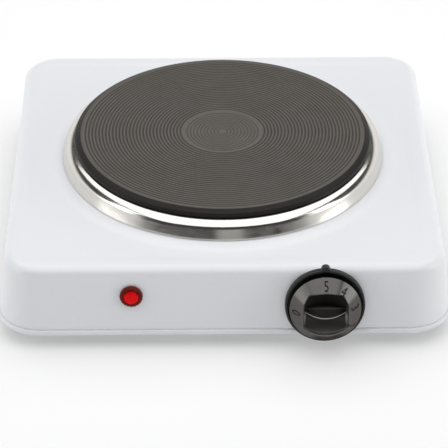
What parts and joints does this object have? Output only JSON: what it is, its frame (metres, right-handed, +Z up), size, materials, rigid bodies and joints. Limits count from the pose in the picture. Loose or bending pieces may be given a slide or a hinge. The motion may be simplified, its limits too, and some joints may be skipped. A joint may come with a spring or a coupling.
{
  "type": "hot plate burner",
  "caption": "Portable electric hot plate: flat cast-iron plate in a steel spill ring on a sloped enamelled housing, with a graduated rotary heat knob and a red pilot lamp.",
  "frame": {"origin": "centre of the footprint's bounding box, on the worktop under the feet", "axes": "+Z up, -Y towards the cook: the front wall with the knob and lamp faces -Y, +X to the right seen from the front"},
  "size_m": [0.271, 0.2792, 0.0685],
  "materials": {
    "white_enamel": "gloss",
    "cast_iron": "machined and coated, satin",
    "stainless": "polished",
    "black_plastic": "gloss",
    "knob_plastic": "gloss",
    "red_lens": "gloss, translucent",
    "rubber": "matte",
    "galvanised_sheet": "zinc coated",
    "zinc_steel": "zinc plated",
    "ceramic": "unglazed steatite",
    "cement": "matte, pressed magnesium oxide",
    "resistance_wire": "oxidised",
    "brass": "bright",
    "contact_alloy": "copper alloy",
    "glass": "clear",
    "lamp_socket_plastic": "matte",
    "brown_insulation": "matte",
    "blue_insulation": "matte",
    "white_insulation": "glass-braid sleeve",
    "green_insulation": "matte"
  },
  "bodies": {
    "base": {"housing": "white_enamel", "hot_plate": "cast_iron", "spill_ring": "stainless", "knob_bezel": "black_plastic", "indicator_lens": "red_lens", "foot_front_left": "rubber", "foot_front_right": "rubber", "foot_back_left": "rubber", "foot_back_right": "rubber", "cord_grommet": "rubber", "base_plate": "galvanised_sheet", "plate_bottom_cover": "galvanised_sheet", "clamp_bar": "galvanised_sheet", "thermostat_bracket": "galvanised_sheet", "corner_bracket_front_left": "galvanised_sheet", "corner_bracket_front_right": "galvanised_sheet", "corner_bracket_back_left": "galvanised_sheet", "corner_bracket_back_right": "galvanised_sheet", "foot_screw_front_left": "zinc_steel", "foot_screw_front_right": "zinc_steel", "foot_screw_back_left": "zinc_steel", "foot_screw_back_right": "zinc_steel", "centre_stud": "zinc_steel", "clamp_washer": "zinc_steel", "clamp_nut": "zinc_steel", "thermostat_screw_left": "zinc_steel", "thermostat_screw_right": "zinc_steel", "block_screw": "zinc_steel", "earth_screw": "zinc_steel", "earth_nut": "zinc_steel", "lamp_retainer": "zinc_steel", "plate_terminal_block": "ceramic", "thermostat_body": "ceramic", "mains_terminal_block": "ceramic", "insulation_cement": "cement", "heating_coil_inner": "resistance_wire", "heating_coil_middle": "resistance_wire", "heating_coil_outer": "resistance_wire", "thermal_fuse": "resistance_wire", "plate_pin_live": "brass", "plate_pin_neutral": "brass", "thermostat_terminal_left": "brass", "thermostat_terminal_right": "brass", "blade_pivot_pin": "brass", "earth_tab": "brass", "neon_bulb": "glass", "lamp_socket": "lamp_socket_plastic", "live_wire": "brown_insulation", "lamp_wire_live": "brown_insulation", "lamp_wire_neutral": "blue_insulation", "fuse_wire": "white_insulation", "plate_wire_live": "white_insulation", "plate_wire_neutral": "white_insulation", "earth_wire": "green_insulation"},
    "knob": {"knob": "knob_plastic", "knob_spring_clip": "zinc_steel", "control_shaft": "zinc_steel"},
    "contact_blade": {"contact_blade": "contact_alloy"}
  },
  "joints": [
    {"name": "knob_turn", "type": "hinge", "parent": "base", "child": "knob", "pos_m": [0.0586, -0.12319, 0.0304], "axis": [0, -0.9936, 0.1132], "range_deg": [0, 270]},
    {"name": "contact_blade_tilt", "type": "hinge", "parent": "base", "child": "contact_blade", "pos_m": [0.0461, -0.10289, 0.03362], "axis": [0, 0.1132, 0.9936], "range_deg": [0, 4.2]}
  ],
  "couplings": [
    {"joint": "contact_blade_tilt", "follows": "knob_turn", "ratio": 0.015}
  ]
}
